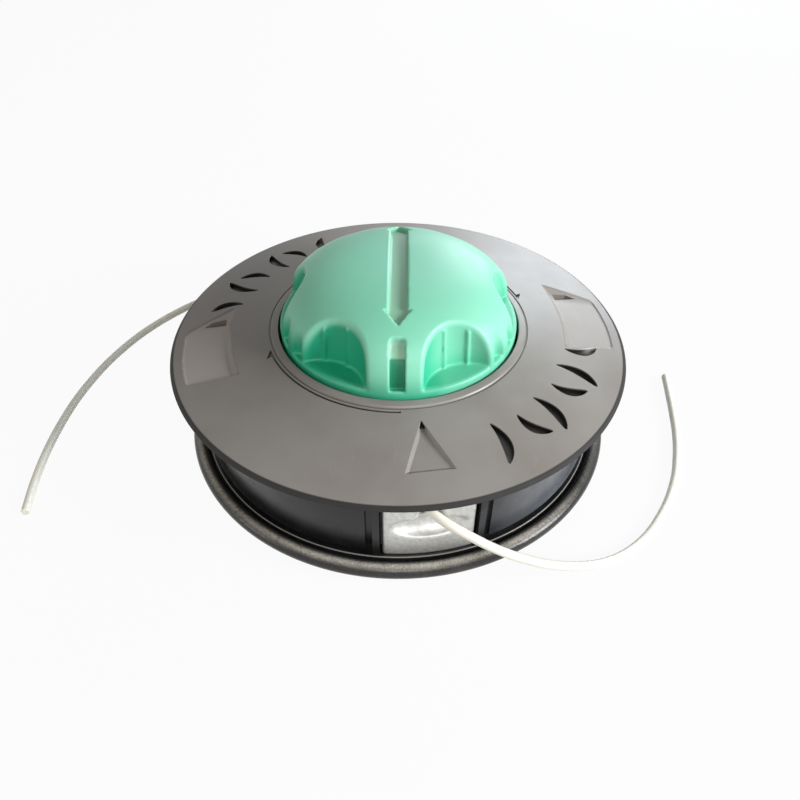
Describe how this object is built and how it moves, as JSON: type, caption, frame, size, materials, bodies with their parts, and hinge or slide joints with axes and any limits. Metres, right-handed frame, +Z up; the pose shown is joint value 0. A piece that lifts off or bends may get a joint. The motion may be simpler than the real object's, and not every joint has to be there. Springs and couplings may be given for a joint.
{
  "type": "trimmer head",
  "caption": "Round bump-feed trimmer head with a ribbed grip knob, conical cover plate, drum housing, cast line eyelets, spool, ratchet, spring and trimmer line.",
  "frame": {"origin": "on the spin axis, in the plane of the arbor face and of the ribs that the head stands on", "axes": "+Z up along the spin axis, from the arbor side to the knob; the line leaves along -Y and +Y"},
  "size_m": [0.2046, 0.1496, 0.0582],
  "materials": {
    "black_nylon": "moulded glass-filled nylon with a fine satin grain, scuffed at the rim",
    "grey_nylon": "moulded grey nylon with a fine satin grain",
    "green_nylon": "moulded mint-green nylon, satin",
    "cast_aluminium": "die cast, satin, polished mouth",
    "plated_steel": "zinc plated",
    "spring_steel": "drawn wire",
    "nylon_line": "extruded cream nylon, slightly translucent"
  },
  "bodies": {
    "head": {"housing": "black_nylon", "cover_plate": "grey_nylon", "eyelet_front": "cast_aluminium", "eyelet_rear": "cast_aluminium", "arbor_nut": "plated_steel", "nut_retainer": "plated_steel", "compression_spring": "spring_steel", "line_tail_front": "nylon_line", "line_tail_rear": "nylon_line"},
    "thrust_ring": {"thrust_washer": "plated_steel"},
    "spool": {"spool": "black_nylon", "bump_knob": "green_nylon", "knob_screws": "plated_steel", "line_wound_lower": "nylon_line", "line_wound_upper": "nylon_line"}
  },
  "joints": [
    {"name": "bump", "type": "slide", "parent": "head", "child": "thrust_ring", "axis": [0, 0, -1], "range_m": [0, 0.005], "stiffness_N_per_m": 3000, "springref_m": -0.012, "deforming": ["compression_spring"]},
    {"name": "rewind", "type": "hinge", "parent": "thrust_ring", "child": "spool", "pos_m": [0, 0, 0.02], "axis": [0, 0, 1], "continuous": true}
  ]
}
